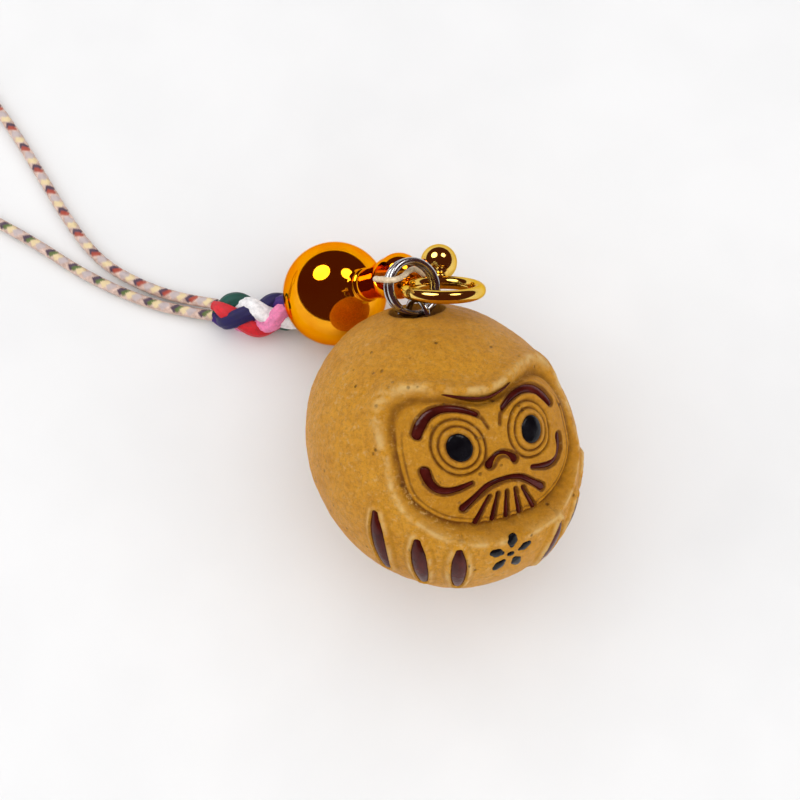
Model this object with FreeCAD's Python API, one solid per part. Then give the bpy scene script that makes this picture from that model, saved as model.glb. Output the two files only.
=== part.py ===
import FreeCAD, Part
import math
import os

Vector = FreeCAD.Vector

# Daruma charm lying on a table, millimetres, +Z up. The doll leans back on its round
# body. Its rings, gourd bead and strap run away from it towards -X and +Y.

# ---- doll ---------------------------------------------------------------------------
DOLL_HALF_WIDTH = 12.2          # across the face
DOLL_LONG_HALF = 13.8           # along the long axis, which runs up and back
DOLL_SHORT_HALF = 11.2          # square to the long axis, in the mirror plane
LONG_AXIS_TILT = 58.0           # long axis, degrees back from the doll's own vertical
DOLL_YAW = 21.35                # how the doll lies
DOLL_PITCH = 18.24
DOLL_ROLL = -43.0
FOOT_DROP = 11.25               # flat foot below the doll's centre
FACE_RADIUS = 15.0              # the sunk face is part of a large ball
FACE_DEPTH = 10.9               # from the doll's centre to the face
FACE_PITCH = 26.0
INLAY_DEPTH = 0.45
EYE_X = 3.5
EYE_Z = 4.3
PUPIL_RADIUS = 1.2
PUPIL_SUNK = 0.4
PUPIL_PROUD = 0.25

# ---- hanging hardware ---------------------------------------------------------------
HANG_ANGLE = 19.0               # hanging recess, degrees back from the doll's top
RECESS_RADIUS = 2.4
RECESS_DEPTH = 2.7
SCREW_WIRE = 0.3                # radius of the screw eye's wire
SCREW_LOOP = 1.5                # its loop's centreline
SCREW_SINK = 0.8                # loop centre below the doll's surface
SCREW_SHANK = 0.5
SCREW_LENGTH = 5.0
THREAD_PITCH = 0.8
THREAD_DEPTH = 0.12
SPLIT_RADIUS = 2.4              # centreline of the split ring
SPLIT_WIRE = 0.33               # radius of its wire
SPLIT_STEP = 0.3                # each turn's distance from the ring's middle plane
SPLIT_GAP = 0.12                # cut at the end of each turn
SPLIT_END = 40.0                # where the first turn ends, degrees round the ring
CHARM_RADIUS = 3.25             # centreline of the gold ring
CHARM_WIRE = 0.6
BALL_RADIUS = 1.7
COLLAR_RADIUS = 0.75
GOURD_BALL = 5.09
GOURD_TIP = 2.15
GOURD_WALL = 0.6
NECK_RADIUS = 1.45
CROSS_HOLE = 1.3
CORD_HOLE = 2.05
KNOT_RADIUS = 2.4
BRAID_RADIUS = 1.75
BRAID_END = 1.25                # radius where the strap's two strands go in
LINK_CORD = 0.35
STRAP_CORD = 0.55

# ---- where things lie, in the row frame ----------------------------------------------
DOLL_CONTACT = Vector(1.4, -4.6, 0)     # where the doll touches the table
SPLIT_CENTRE = Vector(-1.33, 7.8, 18.09)
SPLIT_AXIS = Vector(0.498, -0.249, 0.831)
SCREW_FACING = Vector(0.504, -0.198, 0.84)
CHARM_CENTRE = Vector(1.45, 7.75, 17.75)
CHARM_AXIS = Vector(0.0, 0.812, 0.583)
BALL_CENTRE = Vector(1.18, 12.11, 14.13)
GOURD_CENTRE = Vector(-8.77, 12.91, GOURD_BALL)
TIP_CENTRE = Vector(-2.5, 10.86, 13.88)
CROSS_AXIS = Vector(-0.816, -0.239, 0.526)

BRAID_ROUTE = [Vector(-11.8, 12.3, 3.4), Vector(-14.2, 12, 2.1), Vector(-16.8, 11.9, 1.8),
               Vector(-19.2, 12.3, 1.76)]
BRAID_TAIL = Vector(-20.9, 12.7, 1.45)

LINK_ROUTE = [Vector(-4.6, 9.7, 15.5), Vector(-4.6, 7.9, 19.9), Vector(-3.8, 7.4, 20.6),
              Vector(-2.4, 7.6, 20.3), Vector(-1.2, 10.5, 16.8), Vector(0, 10.4, 14.7),
              Vector(0.7, 9.8, 13), Vector(-0.4, 11, 12.2), Vector(-2.7, 10.7, 14.2)]

# The strap is one loop: out along its upper strand, round its bend and back.
STRAP_ROUTE = [Vector(-20.6, 13.3, 1.6), Vector(-24, 14.1, 0.9), Vector(-28.2, 15.6, 0.6),
               Vector(-32.8, 18.3, 0.6), Vector(-36.3, 22.8, 0.6), Vector(-39.6, 28.3, 0.6),
               Vector(-43.8, 35, 0.6), Vector(-49.1, 41.7, 0.6), Vector(-56.2, 46, 0.6),
               Vector(-63.7, 43.7, 0.6), Vector(-66.6, 36.4, 0.6), Vector(-62.4, 29.7, 0.6),
               Vector(-54.8, 26.6, 0.6), Vector(-46.8, 24.6, 0.6), Vector(-40, 20.8, 0.6),
               Vector(-34.2, 16.8, 0.6), Vector(-27.8, 13.8, 0.6), Vector(-23, 12.7, 0.7),
               Vector(-20.6, 12.2, 1.1)]

# ---- the doll's own frame: X across the face, Y into the face, Z up through the head ---
LONG_AXIS = Vector(0, math.sin(math.radians(LONG_AXIS_TILT)), math.cos(math.radians(LONG_AXIS_TILT)))
SHORT_AXIS = Vector(0, LONG_AXIS.z, -LONG_AXIS.y)
HANG_AXIS = Vector(0, math.sin(math.radians(HANG_ANGLE)), math.cos(math.radians(HANG_ANGLE)))
FACE_BALL = Vector(0, math.cos(math.radians(FACE_PITCH)), -math.sin(math.radians(FACE_PITCH)))
FACE_BALL = FACE_BALL * (FACE_RADIUS - FACE_DEPTH)
TURN = FreeCAD.Rotation(DOLL_YAW, DOLL_PITCH, DOLL_ROLL)


def support(direction):
    """How far the ellipsoid reaches along a direction given in the doll's frame."""
    return math.sqrt((DOLL_HALF_WIDTH * direction.x) ** 2
                     + (DOLL_LONG_HALF * direction.dot(LONG_AXIS)) ** 2
                     + (DOLL_SHORT_HALF * direction.dot(SHORT_AXIS)) ** 2)


def reach(direction):
    """Distance from the doll's centre to its surface along a direction."""
    return 1 / math.sqrt((direction.x / DOLL_HALF_WIDTH) ** 2
                         + (direction.dot(LONG_AXIS) / DOLL_LONG_HALF) ** 2
                         + (direction.dot(SHORT_AXIS) / DOLL_SHORT_HALF) ** 2)


DOWN = TURN.inverted().multVec(Vector(0, 0, -1))
DOLL_PLACE = FreeCAD.Placement(DOLL_CONTACT + Vector(0, 0, support(DOWN)), TURN)


def ellipsoid(offset=0.0):
    """The doll's round body, or the same body grown by an offset."""
    matrix = FreeCAD.Matrix()
    matrix.scale(DOLL_HALF_WIDTH + offset, DOLL_SHORT_HALF + offset, DOLL_LONG_HALF + offset)
    ball = Part.makeSphere(1).transformGeometry(matrix)
    ball.rotate(Vector(0, 0, 0), Vector(1, 0, 0), -LONG_AXIS_TILT)
    return ball


def face_ball(offset=0.0):
    return Part.makeSphere(FACE_RADIUS + offset, FACE_BALL)


def prism(points, depth=20.0):
    """A closed outline in the face's X and Z, as a solid running forward from the doll."""
    corners = [Vector(x, 0, z) for x, z in points]
    face = Part.Face(Part.makePolygon(corners + corners[:1]))
    return face.extrude(Vector(0, -depth, 0))


def spline_prism(points, depth=20.0):
    """The same, with a smooth outline through its points."""
    curve = Part.BSplineCurve()
    curve.interpolate([Vector(x, 0, z) for x, z in points], PeriodicFlag=True)
    face = Part.Face(Part.Wire(curve.toShape()))
    return face.extrude(Vector(0, -depth, 0))


def stroke(points, widths, depth=20.0):
    """A brush stroke in the face's X and Z, with round ends and its own width at each point."""
    solids = []
    for (x, z), width in zip(points, widths):
        solids.append(Part.makeCylinder(width / 2, depth, Vector(x, 0, z), Vector(0, -1, 0)))
    for (x0, z0), (x1, z1), w0, w1 in zip(points, points[1:], widths, widths[1:]):
        length = math.hypot(x1 - x0, z1 - z0)
        nx = -(z1 - z0) / length / 2
        nz = (x1 - x0) / length / 2
        solids.append(prism([(x0 + nx * w0, z0 + nz * w0), (x0 - nx * w0, z0 - nz * w0),
                             (x1 - nx * w1, z1 - nz * w1), (x1 + nx * w1, z1 + nz * w1)], depth))
    return solids[0].multiFuse(solids[1:])


def mirrored(points):
    return [(-x, z) for x, z in points]


# ---- painted strokes of the face, right half as (x, z) --------------------------------
FACE_OUTLINE = [(0, 7.7), (1.8, 7.9), (4.2, 8.3), (6.4, 8.1), (7.9, 7.1), (8.8, 5.0), (8.9, 2.4),
                (8.5, 0.3), (7.3, -1.2), (5.4, -2.4), (2.8, -3.0)]
BROW = [(1.3, 6.6), (2.2, 7.0), (3.2, 7.25), (4.3, 7.25), (5.3, 6.9), (6.1, 6.2), (6.6, 5.5)]
BROW_WIDTH = [0.35, 0.45, 0.5, 0.55, 0.65, 0.75, 0.7]
NOSE = [(-1.2, 2.6), (-0.65, 3.1), (0, 3.3), (0.65, 3.1), (1.2, 2.6)]
NOSE_WIDTH = [0.8, 0.55, 0.5, 0.55, 0.8]
MOUSTACHE = [(6.6, 2.6), (6.4, 1.8), (5.9, 1.15), (5.2, 0.9), (4.2, 1.0), (3.0, 1.3)]
MOUSTACHE_WIDTH = [0.85, 0.85, 0.75, 0.65, 0.5, 0.3]
MOUTH = [(-3.9, -0.8), (-2.9, 0.0), (-1.6, 0.85), (0, 1.1), (1.6, 0.85), (2.9, 0.0), (3.9, -0.8)]
MOUTH_WIDTH = [0.7, 0.55, 0.5, 0.45, 0.5, 0.55, 0.7]
BEARD = [[(0, 0.1), (0, -2.3)], [(0.85, 0.1), (1.35, -2.3)], [(1.65, 0.0), (2.9, -2.3)]]
BEARD_WIDTH = [0.4, 0.65]

# ---- robe stripes: azimuth from the face, top and bottom heights -----------------------
ROBE_STRIPES = [(23.0, -4.1, -8.3), (39.0, -3.2, -7.9), (56.0, -1.1, -6.8)]
STRIPE_WIDTH = [0.75, 1.35, 1.5, 1.4, 1.0]
BELLY_MARK = (-0.37, -5.37)       # centre of the blossom on the belly
PETALS = 5
PETAL_DISTANCE = 1.35
PETAL_LENGTH = 0.8
PETAL_WIDTH = 1.0


def face_layer():
    return face_ball().cut(face_ball(-INLAY_DEPTH))


def robe_layer():
    return ellipsoid().cut(ellipsoid(-INLAY_DEPTH))


def stripe_prism(azimuth, top, bottom):
    """A teardrop running down the robe, cut straight back along its own azimuth."""
    steps = len(STRIPE_WIDTH) - 1
    points = [(0.0, top + (bottom - top) * i / steps) for i in range(steps + 1)]
    solid = stroke(points, STRIPE_WIDTH)
    solid.rotate(Vector(0, 0, 0), Vector(0, 0, 1), azimuth)
    return solid


def petal_prisms():
    solids = []
    x0, z0 = BELLY_MARK
    for i in range(PETALS):
        angle = math.radians(90 + 360 / PETALS * i)
        near = PETAL_DISTANCE - PETAL_LENGTH / 2
        far = PETAL_DISTANCE + PETAL_LENGTH / 2
        ends = [(x0 + r * math.cos(angle), z0 + r * math.sin(angle)) for r in (near, far)]
        solids.append(stroke(ends, [PETAL_WIDTH * 0.6, PETAL_WIDTH]))
    solids.append(Part.makeCylinder(0.35, 20.0, Vector(x0, 0, z0), Vector(0, -1, 0)))
    return solids


def pupil(side):
    """A domed disc set square into the face."""
    dx = side * EYE_X - FACE_BALL.x
    dz = EYE_Z - FACE_BALL.z
    dy = -math.sqrt(FACE_RADIUS ** 2 - dx ** 2 - dz ** 2)
    normal = Vector(dx, dy, dz) * (1 / FACE_RADIUS)
    base = FACE_BALL + normal * (FACE_RADIUS - PUPIL_SUNK)
    disc = Part.makeCylinder(PUPIL_RADIUS, PUPIL_SUNK + PUPIL_PROUD, base, normal)
    rim = [edge for edge in disc.Edges if edge.Closed
           and (edge.CenterOfMass - base).Length > PUPIL_SUNK]
    return disc.makeFillet(PUPIL_PROUD * 0.9, rim)


def compound(solids):
    return Part.makeCompound([s for shape in solids for s in shape.Solids])


def doll_parts():
    """The carved body and the enamel let into it, in the doll's own frame."""
    outline = FACE_OUTLINE + [(0, -3.1)] + mirrored(FACE_OUTLINE[:0:-1])
    body = ellipsoid().cut(spline_prism(outline).cut(face_ball()))
    foot = Part.makeBox(40, 40, 20, Vector(-20, -20, -FOOT_DROP - 20))
    body = body.cut(foot)

    surface = reach(HANG_AXIS)
    floor = HANG_AXIS * (surface - RECESS_DEPTH)
    body = body.cut(Part.makeCylinder(RECESS_RADIUS, 10, floor, HANG_AXIS))
    body = body.cut(Part.makeCylinder(SCREW_SHANK, SCREW_LENGTH, floor, HANG_AXIS * -1))

    face = face_layer()
    robe = robe_layer()
    parts = {}
    for name, side in (("left", -1), ("right", 1)):
        turn = mirrored if side < 0 else list
        parts["brow_" + name] = stroke(turn(BROW), BROW_WIDTH).common(face)
        parts["moustache_" + name] = stroke(turn(MOUSTACHE), MOUSTACHE_WIDTH).common(face)
        parts["pupil_" + name] = pupil(side)
        stripes = [stripe_prism(side * azimuth, top, bottom).common(robe)
                   for azimuth, top, bottom in ROBE_STRIPES]
        parts["robe_stripes_" + name] = compound(stripes)
    parts["nose_line"] = stroke(NOSE, NOSE_WIDTH).common(face)
    parts["mouth_line"] = stroke(MOUTH, MOUTH_WIDTH).common(face)
    lines = [BEARD[0]] + BEARD[1:] + [mirrored(line) for line in BEARD[1:]]
    parts["beard_lines"] = compound([stroke(line, BEARD_WIDTH).common(face) for line in lines])
    parts["belly_blossom"] = compound([p.common(robe) for p in petal_prisms()])
    for shape in parts.values():
        body = body.cut(shape)
    parts["doll_body"] = body
    return {name: moved(shape, DOLL_PLACE) for name, shape in parts.items()}


def moved(shape, placement):
    copy = shape.copy()
    copy.Placement = placement.multiply(copy.Placement)
    return copy


# ---- rings ----------------------------------------------------------------------------
def screw_eye():
    """Wire loop on a threaded shank, in the middle of the hanging recess."""
    surface = reach(HANG_AXIS)
    out = TURN.multVec(HANG_AXIS)
    loop_centre = DOLL_PLACE.multVec(HANG_AXIS * (surface - SCREW_SINK))
    loop = Part.makeTorus(SCREW_LOOP, SCREW_WIRE, loop_centre, out.cross(SCREW_FACING))
    top = loop_centre - out * (SCREW_LOOP + SCREW_WIRE * 0.5)
    floor = DOLL_PLACE.multVec(HANG_AXIS * (surface - RECESS_DEPTH))
    length = (top - floor).dot(out) + SCREW_LENGTH
    shank = Part.makeCylinder(SCREW_SHANK, length, top, out * -1)
    for i in range(int(SCREW_LENGTH / THREAD_PITCH) - 1):
        at = floor - out * (THREAD_PITCH * (i + 1))
        shank = shank.cut(Part.makeTorus(SCREW_SHANK, THREAD_DEPTH, at, out))
    return loop.fuse(shank)


def split_ring():
    """Two turns of wire side by side, each with a cut end on its outer side."""
    turns = [Part.makeTorus(SPLIT_RADIUS, SPLIT_WIRE, Vector(0, 0, SPLIT_STEP * side)) for side in (1, -1)]
    ring = turns[0].fuse(turns[1])
    for side, angle in ((1, SPLIT_END), (-1, SPLIT_END + 35)):
        base = 0.05 if side > 0 else -1.05
        gap = Part.makeBox(SPLIT_WIRE * 4, SPLIT_GAP, 1, Vector(SPLIT_RADIUS - SPLIT_WIRE * 2, 0, base))
        gap.rotate(Vector(0, 0, 0), Vector(0, 0, 1), angle)
        ring = ring.cut(gap)
    return moved(ring, FreeCAD.Placement(SPLIT_CENTRE, FreeCAD.Rotation(Vector(0, 0, 1), SPLIT_AXIS)))


def charm_parts():
    """The gold ring and the ball that hangs from it on a short collar."""
    axis = CHARM_AXIS * (1 / CHARM_AXIS.Length)
    ring = Part.makeTorus(CHARM_RADIUS, CHARM_WIRE, CHARM_CENTRE, axis)
    ball = Part.makeSphere(BALL_RADIUS, BALL_CENTRE)
    toward = BALL_CENTRE - CHARM_CENTRE
    toward = toward - axis * toward.dot(axis)
    foot = CHARM_CENTRE + toward * (CHARM_RADIUS / toward.Length)
    reach_out = BALL_CENTRE - foot
    collar = Part.makeCylinder(COLLAR_RADIUS, reach_out.Length, foot, reach_out)
    return {"charm_ring": ring, "charm_ball": ball, "charm_collar": collar.cut(ring).cut(ball)}


# ---- gourd bead and its cords -----------------------------------------------------------
def gourd_shell():
    """Hollow bead: a ball, a collared neck and a small bulb with a hole straight across."""
    axis = TIP_CENTRE - GOURD_CENTRE
    span = axis.Length
    foot = math.sqrt(GOURD_BALL ** 2 - (NECK_RADIUS + 0.25) ** 2)
    profile = [(NECK_RADIUS + 0.25, foot), (NECK_RADIUS, foot + 0.45), (NECK_RADIUS + 0.2, foot + 0.85),
               (NECK_RADIUS, foot + 1.3), (NECK_RADIUS + 0.15, foot + 2.6),
               (GOURD_TIP * 0.86, span - GOURD_TIP * 0.8), (GOURD_TIP * 0.97, span - GOURD_TIP * 0.2)]
    curve = Part.BSplineCurve()
    curve.interpolate([Vector(radius, 0, along) for radius, along in profile])
    start = Vector(0, 0, profile[0][1])
    end = Vector(0, 0, profile[-1][1])
    edges = [Part.LineSegment(start, curve.value(curve.FirstParameter)).toShape(), curve.toShape(),
             Part.LineSegment(curve.value(curve.LastParameter), end).toShape(),
             Part.LineSegment(end, start).toShape()]
    stem = Part.Face(Part.Wire(edges)).revolve(Vector(0, 0, 0), Vector(0, 0, 1), 360)
    bulb = Part.makeSphere(GOURD_TIP, Vector(0, 0, span))
    shell = Part.makeSphere(GOURD_BALL).fuse(stem).fuse(bulb)
    shell = shell.cut(Part.makeSphere(GOURD_BALL - GOURD_WALL))
    shell = moved(shell, FreeCAD.Placement(GOURD_CENTRE, FreeCAD.Rotation(Vector(0, 0, 1), axis)))

    across = CROSS_AXIS * (1 / CROSS_AXIS.Length)
    shell = shell.cut(Part.makeCylinder(CROSS_HOLE, 8, TIP_CENTRE - across * 4, across))
    for side in (-1, 1):
        rim = TIP_CENTRE + across * (GOURD_TIP * 0.62 * side)
        shell = shell.cut(Part.makeCone(CROSS_HOLE, CROSS_HOLE + 1.4, 1.4, rim, across * side))
    return shell.cut(Part.makeCylinder(CORD_HOLE, GOURD_BALL * 1.3, GOURD_CENTRE, cord_exit()))


def cord_exit():
    """Direction in which the braid leaves the ball."""
    return BRAID_ROUTE[1] - BRAID_ROUTE[0]


def route_edges(points, closed=False):
    """Straight runs joined by tangent arcs; the arc radii come back as well."""
    count = len(points)
    corners = range(count) if closed else range(1, count - 1)
    arcs = {}
    radii = []
    for i in corners:
        before = points[i] - points[i - 1]
        after = points[(i + 1) % count] - points[i]
        back = before * (-1 / before.Length)
        ahead = after * (1 / after.Length)
        turn = math.pi - back.getAngle(ahead)
        cut = 0.45 * min(before.Length, after.Length)
        radius = cut / math.tan(turn / 2)
        radii.append(radius)
        inward = (back + ahead) * (1 / (back + ahead).Length)
        middle = points[i] + inward * (radius / math.cos(turn / 2) - radius)
        arcs[i] = (points[i] + back * cut, middle, points[i] + ahead * cut)
    edges = []
    for i in range(count if closed else count - 1):
        j = (i + 1) % count
        start = arcs[i][2] if i in arcs else points[i]
        end = arcs[j][0] if j in arcs else points[j]
        edges.append(Part.LineSegment(start, end).toShape())
        if j in arcs:
            edges.append(Part.Arc(*arcs[j]).toShape())
    return edges, radii


def sweep(edges, radius):
    start = edges[0].Vertexes[0].Point
    ring = Part.Wire(Part.makeCircle(radius, start, edges[0].tangentAt(edges[0].FirstParameter)))
    return Part.Wire(edges).makePipeShell([ring], True, False)


def tube(name, points, radius, closed=False):
    """A round cord along its route. A closed one is swept in two halves."""
    edges, radii = route_edges(points, closed)
    half = len(edges) // 2
    solid = sweep(edges[:half], radius).fuse(sweep(edges[half:], radius)) if closed else sweep(edges, radius)
    length = sum(edge.Length for edge in edges)
    full = math.pi * radius ** 2 * length
    print(name, "length", round(length, 2), "smallest bend", round(min(radii), 2),
          "in diameters", round(min(radii) / radius / 2, 1), "volume ratio", round(solid.Volume / full, 4))
    return solid


def cord_parts():
    """The strap, its braided stopper, the knot that holds it and the inner link cord."""
    exit_axis = cord_exit()
    exit_axis = exit_axis * (1 / exit_axis.Length)
    edge = math.sqrt((GOURD_BALL - GOURD_WALL) ** 2 - CORD_HOLE ** 2)
    seat = edge - math.sqrt(KNOT_RADIUS ** 2 - CORD_HOLE ** 2)
    knot = Part.makeSphere(KNOT_RADIUS, GOURD_CENTRE + exit_axis * seat)
    strap = tube("strap_cord", STRAP_ROUTE, STRAP_CORD)
    braid = tube("stopper_braid", BRAID_ROUTE, BRAID_RADIUS)
    tail = BRAID_TAIL - BRAID_ROUTE[-1]
    taper = Part.makeCone(BRAID_RADIUS, BRAID_END, tail.Length, BRAID_ROUTE[-1], tail)
    braid = braid.fuse(taper).cut(knot).cut(strap)
    return {"strap_cord": strap, "stopper_braid": braid, "retaining_knot": knot,
            "link_cord": tube("link_cord", LINK_ROUTE, LINK_CORD, closed=True)}


def main():
    os.makedirs("parts", exist_ok=True)
    parts = doll_parts()
    parts["screw_eye"] = screw_eye()
    parts["split_ring"] = split_ring()
    parts.update(charm_parts())
    parts["gourd_shell"] = gourd_shell()
    parts.update(cord_parts())
    for name, shape in parts.items():
        shape.exportStep("parts/" + name + ".step")
        box = shape.BoundBox
        print(name, len(shape.Solids), "valid", shape.isValid(), round(shape.Volume, 2),
              [round(v, 2) for v in (box.XMin, box.XMax, box.YMin, box.YMax, box.ZMin, box.ZMax)])


main()
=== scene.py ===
import math
from functools import partial

import bmesh
import bpy
import numpy as np
from mathutils import Euler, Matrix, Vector, noise


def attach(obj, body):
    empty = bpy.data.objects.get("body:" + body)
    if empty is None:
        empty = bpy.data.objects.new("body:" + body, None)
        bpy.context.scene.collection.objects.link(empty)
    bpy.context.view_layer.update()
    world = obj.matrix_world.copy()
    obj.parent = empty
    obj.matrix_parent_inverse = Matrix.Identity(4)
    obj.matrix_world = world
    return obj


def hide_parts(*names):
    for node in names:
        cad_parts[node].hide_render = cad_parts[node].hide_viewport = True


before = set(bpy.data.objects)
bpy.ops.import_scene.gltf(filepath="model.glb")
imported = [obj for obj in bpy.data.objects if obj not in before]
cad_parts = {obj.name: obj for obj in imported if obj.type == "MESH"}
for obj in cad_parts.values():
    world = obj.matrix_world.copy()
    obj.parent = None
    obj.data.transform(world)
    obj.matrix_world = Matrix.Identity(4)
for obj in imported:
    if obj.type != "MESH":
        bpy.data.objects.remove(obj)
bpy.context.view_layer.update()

MM = 0.001

# ---- the doll's shape, millimetres, in its own frame: X across the face, Y into it, Z up ----
HALF_WIDTH = 12.2
LONG_HALF = 13.8
SHORT_HALF = 11.2
LONG_AXIS = np.array([0.0, math.sin(math.radians(58)), math.cos(math.radians(58))])
SHORT_AXIS = np.array([0.0, LONG_AXIS[2], -LONG_AXIS[1]])
FOOT_DROP = 11.25
FACE_RADIUS = 15.0
FACE_BALL = np.array([0.0, 0.8988, -0.4384]) * (FACE_RADIUS - 10.9)
HANG_AXIS = np.array([0.0, math.sin(math.radians(19)), math.cos(math.radians(19))])
RECESS_RADIUS = 2.4
RECESS_DEPTH = 2.7
DOLL_CENTRE = Vector((1.4, -4.6, 11.396))
DOLL_TURN = Euler((math.radians(-43), math.radians(18.24), math.radians(21.35))).to_matrix()

FACE_OUTLINE = [(0, 7.7), (1.8, 7.9), (4.2, 8.3), (6.4, 8.1), (7.9, 7.1), (8.8, 5.0), (8.9, 2.4),
                (8.5, 0.3), (7.3, -1.2), (5.4, -2.4), (2.8, -3.0)]
BROW = [(1.3, 6.6), (2.2, 7.0), (3.2, 7.25), (4.3, 7.25), (5.3, 6.9), (6.1, 6.2), (6.6, 5.5)]
BROW_WIDTH = [0.35, 0.45, 0.5, 0.55, 0.65, 0.75, 0.7]
NOSE = [(-1.2, 2.6), (-0.65, 3.1), (0, 3.3), (0.65, 3.1), (1.2, 2.6)]
NOSE_WIDTH = [0.8, 0.55, 0.5, 0.55, 0.8]
MOUSTACHE = [(6.6, 2.6), (6.4, 1.8), (5.9, 1.15), (5.2, 0.9), (4.2, 1.0), (3.0, 1.3)]
MOUSTACHE_WIDTH = [0.85, 0.85, 0.75, 0.65, 0.5, 0.3]
MOUTH = [(-3.9, -0.8), (-2.9, 0.0), (-1.6, 0.85), (0, 1.1), (1.6, 0.85), (2.9, 0.0), (3.9, -0.8)]
MOUTH_WIDTH = [0.7, 0.55, 0.5, 0.45, 0.5, 0.55, 0.7]
BEARD = [[(0, 0.1), (0, -2.3)], [(0.85, 0.1), (1.35, -2.3)], [(1.65, 0.0), (2.9, -2.3)]]
BEARD_WIDTH = [0.28, 0.46]
ROBE_STRIPES = [(23.0, -4.1, -8.3), (39.0, -3.2, -7.9), (56.0, -1.1, -6.8)]
STRIPE_WIDTH = [0.75, 1.35, 1.5, 1.4, 1.0]
EYE = (3.5, 4.3)
PUPIL_RADIUS = 1.1
BELLY_MARK = (-0.37, -5.37)
PETALS = 5
GROOVE_DEPTH = 0.3

# ---- cords, metres; the routes are the part's -----------------------------------------
STRAP_ROUTE = [(-0.0206, 0.0133, 0.0016), (-0.024, 0.0141, 0.0009), (-0.0282, 0.0156, 0.0006),
               (-0.0328, 0.0183, 0.0006), (-0.0363, 0.0228, 0.0006), (-0.0396, 0.0283, 0.0006),
               (-0.0438, 0.035, 0.0006), (-0.0491, 0.0417, 0.0006), (-0.0562, 0.046, 0.0006),
               (-0.0637, 0.0437, 0.0006), (-0.0666, 0.0364, 0.0006), (-0.0624, 0.0297, 0.0006),
               (-0.0548, 0.0266, 0.0006), (-0.0468, 0.0246, 0.0006), (-0.04, 0.0208, 0.0006),
               (-0.0342, 0.0168, 0.0006), (-0.0278, 0.0138, 0.0006), (-0.023, 0.0127, 0.0007),
               (-0.0206, 0.0122, 0.0011)]
LINK_ROUTE = [(-0.0046, 0.0097, 0.0155), (-0.0046, 0.0079, 0.0199), (-0.0038, 0.0074, 0.0206),
              (-0.0024, 0.0076, 0.0203), (-0.0012, 0.0105, 0.0168), (0, 0.0104, 0.0147),
              (0.0007, 0.0098, 0.013), (-0.0004, 0.011, 0.0122), (-0.0027, 0.0107, 0.0142)]
BRAID_ROUTE = [(-0.0118, 0.0123, 0.0034), (-0.0142, 0.012, 0.0021), (-0.0168, 0.0119, 0.0018),
               (-0.0192, 0.0123, 0.00176), (-0.0209, 0.0127, 0.00145)]
STRAP_RADIUS = 0.00055
LINK_RADIUS = 0.00026  # drawn thinner than the part's, which is 0.35 mm
BRAID_TURNS = 0.78

# ---- rings and bead, millimetres in the row frame ------------------------------------
SPLIT_CENTRE = Vector((-1.33, 7.8, 18.09))
SPLIT_AXIS = Vector((0.498, -0.249, 0.831)).normalized()
CHARM_CENTRE = Vector((1.45, 7.75, 17.75))
CHARM_AXIS = Vector((0.0, 0.812, 0.583)).normalized()
CHARM_RADIUS = 3.25
CHARM_WIRE = 0.6
BALL_RADIUS = 1.7
SPLIT_RADIUS = 2.4
SPLIT_WIRE = 0.32
SCREW_LOOP = 1.5
SCREW_WIRE = 0.3
SCREW_SHANK = 0.45
SCREW_LENGTH = 6.0
GOURD_BALL = 5.09
GOURD_INSIDE = 4.49
GOURD_TIP = 2.15
CROSS_HOLE = 1.3
CORD_HOLE = 2.05
BALL_CENTRE = Vector((1.18, 12.11, 14.13))
GOURD_CENTRE = Vector((-8.77, 12.91, 5.09))
TIP_CENTRE = Vector((-2.5, 10.86, 13.88))
CROSS_AXIS = Vector((-0.816, -0.239, 0.526)).normalized()
SCREW_FACING = Vector((0.504, -0.198, 0.84))


# ---- small helpers -------------------------------------------------------------------
def make_object(name, verts, faces, body, material, smooth=True):
    """A mesh in metres that rides on a body."""
    mesh = bpy.data.meshes.new(name)
    mesh.from_pydata([tuple(v) for v in verts], [], [tuple(f) for f in faces])
    mesh.validate()
    if smooth:
        mesh.polygons.foreach_set("use_smooth", [True] * len(mesh.polygons))
    obj = bpy.data.objects.new(name, mesh)
    bpy.context.scene.collection.objects.link(obj)
    mesh.materials.append(material)
    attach(obj, body)
    return obj


def doll_to_row(points):
    """Points of the doll's own frame, millimetres, as row-frame metres."""
    turn = np.array(DOLL_TURN)
    return (points @ turn.T + np.array(DOLL_CENTRE)) * MM


def turn_faces_out(obj):
    bm = bmesh.new()
    bm.from_mesh(obj.data)
    bmesh.ops.recalc_face_normals(bm, faces=bm.faces)
    bm.to_mesh(obj.data)
    bm.free()


def set_attribute(obj, name, values):
    layer = obj.data.attributes.new(name, "FLOAT", "POINT")
    layer.data.foreach_set("value", np.asarray(values, dtype=np.float32))


def smooth_step(low, high, value):
    t = np.clip((value - low) / (high - low), 0, 1)
    return t * t * (3 - 2 * t)


def spline(points, count, closed=False):
    """Catmull-Rom samples through rows of numbers."""
    rows = np.array(points, dtype=float)
    size = len(rows)
    spans = size if closed else size - 1
    out = []
    for value in np.linspace(0, spans, count, endpoint=not closed):
        i = min(int(value), spans - 1)
        t = value - i
        if closed:
            a, b, c, d = (rows[(i + k) % size] for k in (-1, 0, 1, 2))
        else:
            a, b, c, d = (rows[min(max(i + k, 0), size - 1)] for k in (-1, 0, 1, 2))
        out.append(0.5 * (2 * b + (c - a) * t + (2 * a - 5 * b + 4 * c - d) * t ** 2
                          + (3 * b - a - 3 * c + d) * t ** 3))
    return np.array(out)


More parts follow.
